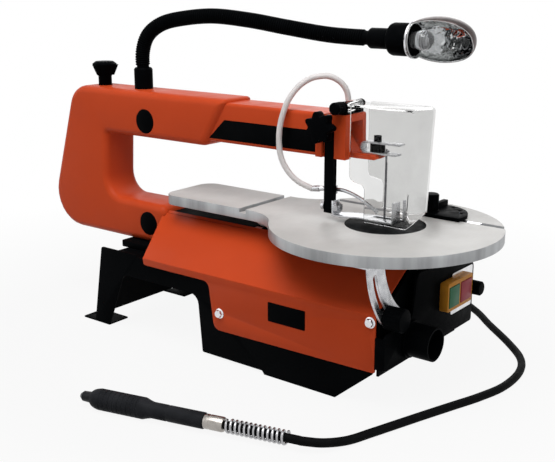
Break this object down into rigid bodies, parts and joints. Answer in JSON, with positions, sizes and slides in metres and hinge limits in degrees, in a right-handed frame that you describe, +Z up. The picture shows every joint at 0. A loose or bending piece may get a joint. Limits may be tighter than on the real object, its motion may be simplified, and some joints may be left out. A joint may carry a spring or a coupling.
{
  "type": "scroll_saw",
  "caption": "Benchtop scroll saw with a cast C-frame, tilting round table, clear blade guard, dust blower, gooseneck lamp and a flexible shaft with handpiece.",
  "frame": {"origin": "centre of the four bench-bolt holes, on the bench plane", "axes": "+X from the C-frame's back to the operator, +Y to the saw's motor side, +Z up"},
  "size_m": [0.6393, 0.5273, 0.387],
  "materials": {
    "orange_paint": "satin powder coat",
    "black_sheet": "satin black powder coat",
    "black_plastic": "fine-grained black plastic",
    "charcoal_plastic": "charcoal plastic",
    "zinc_steel": "zinc-plated steel",
    "bright_steel": "ground steel",
    "blade_steel": "dark spring steel",
    "cast_table": "machined casting",
    "clear_guard": "clear plastic",
    "clear_hose": "clear soft tube",
    "black_rubber": "black rubber",
    "bulb_glass": "frosted bulb",
    "yellow_plastic": "yellow plastic",
    "green_plastic": "green plastic",
    "red_plastic": "red plastic"
  },
  "bodies": {
    "frame": {"base_frame": "black_sheet", "frame_pedestal": "black_sheet", "front_plate": "black_sheet", "motor_plate": "black_sheet", "table_cradle": "black_sheet", "left_cover": "orange_paint", "right_cover": "orange_paint", "front_cover": "black_plastic", "arm_casting_left": "orange_paint", "arm_casting_right": "orange_paint", "pivot_caps": "black_plastic", "pivot_pins": "bright_steel", "motor_housing": "charcoal_plastic", "takeoff_collar": "zinc_steel", "blower_bellows": "black_rubber", "blower_outlet": "black_plastic", "blower_hose": "clear_hose", "guard_hinge": "black_sheet", "tilt_stud": "zinc_steel", "switch_housing": "yellow_plastic", "dust_port": "black_plastic", "lamp_base": "black_plastic", "flex_shaft": "black_rubber", "flex_spring": "zinc_steel", "handpiece": "charcoal_plastic"},
    "rotor": {"rotor": "bright_steel"},
    "conrod": {"connecting_rod": "bright_steel"},
    "lower_arm": {"lower_arm": "orange_paint", "lower_blade_holder": "zinc_steel"},
    "upper_arm": {"upper_arm": "orange_paint", "blade_clip": "zinc_steel", "clip_block": "black_plastic", "clip_screw": "black_plastic"},
    "blade": {"blade": "blade_steel"},
    "tension_rod": {"tension_rod": "bright_steel"},
    "tension_knob": {"tension_knob": "black_plastic"},
    "lamp": {"gooseneck": "black_plastic", "lamp_head": "black_plastic", "lamp_shade": "zinc_steel", "lamp_bulb": "bulb_glass"},
    "hold_down": {"hold_down_post": "black_sheet", "hold_down_foot": "zinc_steel", "foot_bolt": "zinc_steel", "blower_nozzle": "zinc_steel", "nozzle_clip": "zinc_steel"},
    "star_knob": {"star_knob": "black_plastic"},
    "guard": {"blade_guard": "clear_guard"},
    "guard_knob": {"guard_knob": "black_plastic"},
    "table": {"table_top": "cast_table", "table_insert": "black_plastic", "trunnion_lugs": "cast_table", "tilt_bracket": "zinc_steel"},
    "tilt_knob": {"tilt_knob": "black_plastic"},
    "mitre_bar": {"mitre_bar": "bright_steel"},
    "mitre_head": {"mitre_head": "black_plastic"},
    "mitre_knob": {"mitre_knob": "black_plastic"},
    "start_button": {"start_button": "green_plastic"},
    "stop_button": {"stop_button": "red_plastic"},
    "speed_knob": {"speed_knob": "black_plastic"},
    "collet": {"collet_nut": "zinc_steel"}
  },
  "joints": [
    {"name": "table_tilt", "type": "hinge", "parent": "frame", "child": "table", "pos_m": [0.217, 0, 0.17], "axis": [1, 0, 0], "range_deg": [0, 28]},
    {"name": "mitre_slide", "type": "slide", "parent": "table", "child": "mitre_bar", "axis": [1, 0, 0], "range_m": [-0.06, 0.04]},
    {"name": "mitre_swivel", "type": "hinge", "parent": "mitre_bar", "child": "mitre_head", "pos_m": [0.237, 0.062, 0.17], "axis": [0, 0, 1], "range_deg": [-45, 45]},
    {"name": "mitre_knob_turn", "type": "hinge", "parent": "mitre_head", "child": "mitre_knob", "pos_m": [0.237, 0.062, 0.184], "axis": [0, 0, 1], "range_deg": [-180, 180]},
    {"name": "arm_rock", "type": "hinge", "parent": "frame", "child": "lower_arm", "pos_m": [-0.112, 0, 0.123], "axis": [0, 1, 0], "range_deg": [-1.35, 1.35]},
    {"name": "upper_rock", "type": "hinge", "parent": "frame", "child": "upper_arm", "pos_m": [-0.112, 0, 0.252], "axis": [0, 1, 0], "range_deg": [-1.4, 1.4], "deforming": ["blower_bellows"]},
    {"name": "blade_swing", "type": "hinge", "parent": "upper_arm", "child": "blade", "pos_m": [0.217, 0, 0.2473], "axis": [0, 1, 0], "range_deg": [-1.4, 1.4]},
    {"name": "rod_slide", "type": "slide", "parent": "frame", "child": "tension_rod", "axis": [0, 0, 1], "range_m": [-0.0025, 0.0025]},
    {"name": "tension_turn", "type": "hinge", "parent": "tension_rod", "child": "tension_knob", "pos_m": [-0.21, 0, 0.304], "axis": [0, 0, 1], "range_deg": [-360, 360]},
    {"name": "rotor_spin", "type": "hinge", "parent": "frame", "child": "rotor", "pos_m": [0.107, 0.08, 0.092], "axis": [0, 1, 0], "continuous": true},
    {"name": "conrod_turn", "type": "hinge", "parent": "rotor", "child": "conrod", "pos_m": [0.1123, 0.016, 0.092], "axis": [0, 1, 0], "continuous": true},
    {"name": "collet_spin", "type": "hinge", "parent": "frame", "child": "collet", "pos_m": [0.0199, -0.2567, 0.0109], "axis": [0.9694, 0.2453, 0], "continuous": true},
    {"name": "guard_swing", "type": "hinge", "parent": "frame", "child": "guard", "pos_m": [0.1735, 0, 0.2915], "axis": [0, -1, 0], "range_deg": [0, 80]},
    {"name": "guard_knob_turn", "type": "hinge", "parent": "frame", "child": "guard_knob", "pos_m": [0.1735, -0.03, 0.2915], "axis": [0, 1, 0], "range_deg": [-180, 180]},
    {"name": "hold_down_slide", "type": "slide", "parent": "frame", "child": "hold_down", "axis": [0, 0, 1], "range_m": [0, 0.028], "deforming": ["blower_hose"]},
    {"name": "star_knob_turn", "type": "hinge", "parent": "frame", "child": "star_knob", "pos_m": [0.159, -0.038, 0.2715], "axis": [0, 1, 0], "range_deg": [-180, 180]},
    {"name": "tilt_knob_turn", "type": "hinge", "parent": "frame", "child": "tilt_knob", "pos_m": [0.277, -0.07606, 0.09907], "axis": [1, 0, 0], "range_deg": [-180, 180]},
    {"name": "speed_turn", "type": "hinge", "parent": "frame", "child": "speed_knob", "pos_m": [0.287, 0.086, 0.09], "axis": [1, 0, 0], "range_deg": [0, 270]},
    {"name": "start_press", "type": "slide", "parent": "frame", "child": "start_button", "axis": [-1, 0, 0], "range_m": [0, 0.003], "stiffness_N_per_m": 400},
    {"name": "stop_press", "type": "slide", "parent": "frame", "child": "stop_button", "axis": [-1, 0, 0], "range_m": [0, 0.003], "stiffness_N_per_m": 400},
    {"name": "lamp_swing", "type": "hinge", "parent": "frame", "child": "lamp", "pos_m": [-0.139, 0, 0.314], "axis": [0, 0, 1], "range_deg": [-60, 60]}
  ],
  "couplings": [
    {"joint": "upper_rock", "follows": "arm_rock", "ratio": 1},
    {"joint": "blade_swing", "follows": "arm_rock", "ratio": -1},
    {"joint": "rod_slide", "follows": "arm_rock", "m_per_rad": 0.098},
    {"joint": "conrod_turn", "follows": "rotor_spin", "ratio": -1},
    {"joint": "collet_spin", "follows": "rotor_spin", "ratio": 1}
  ]
}
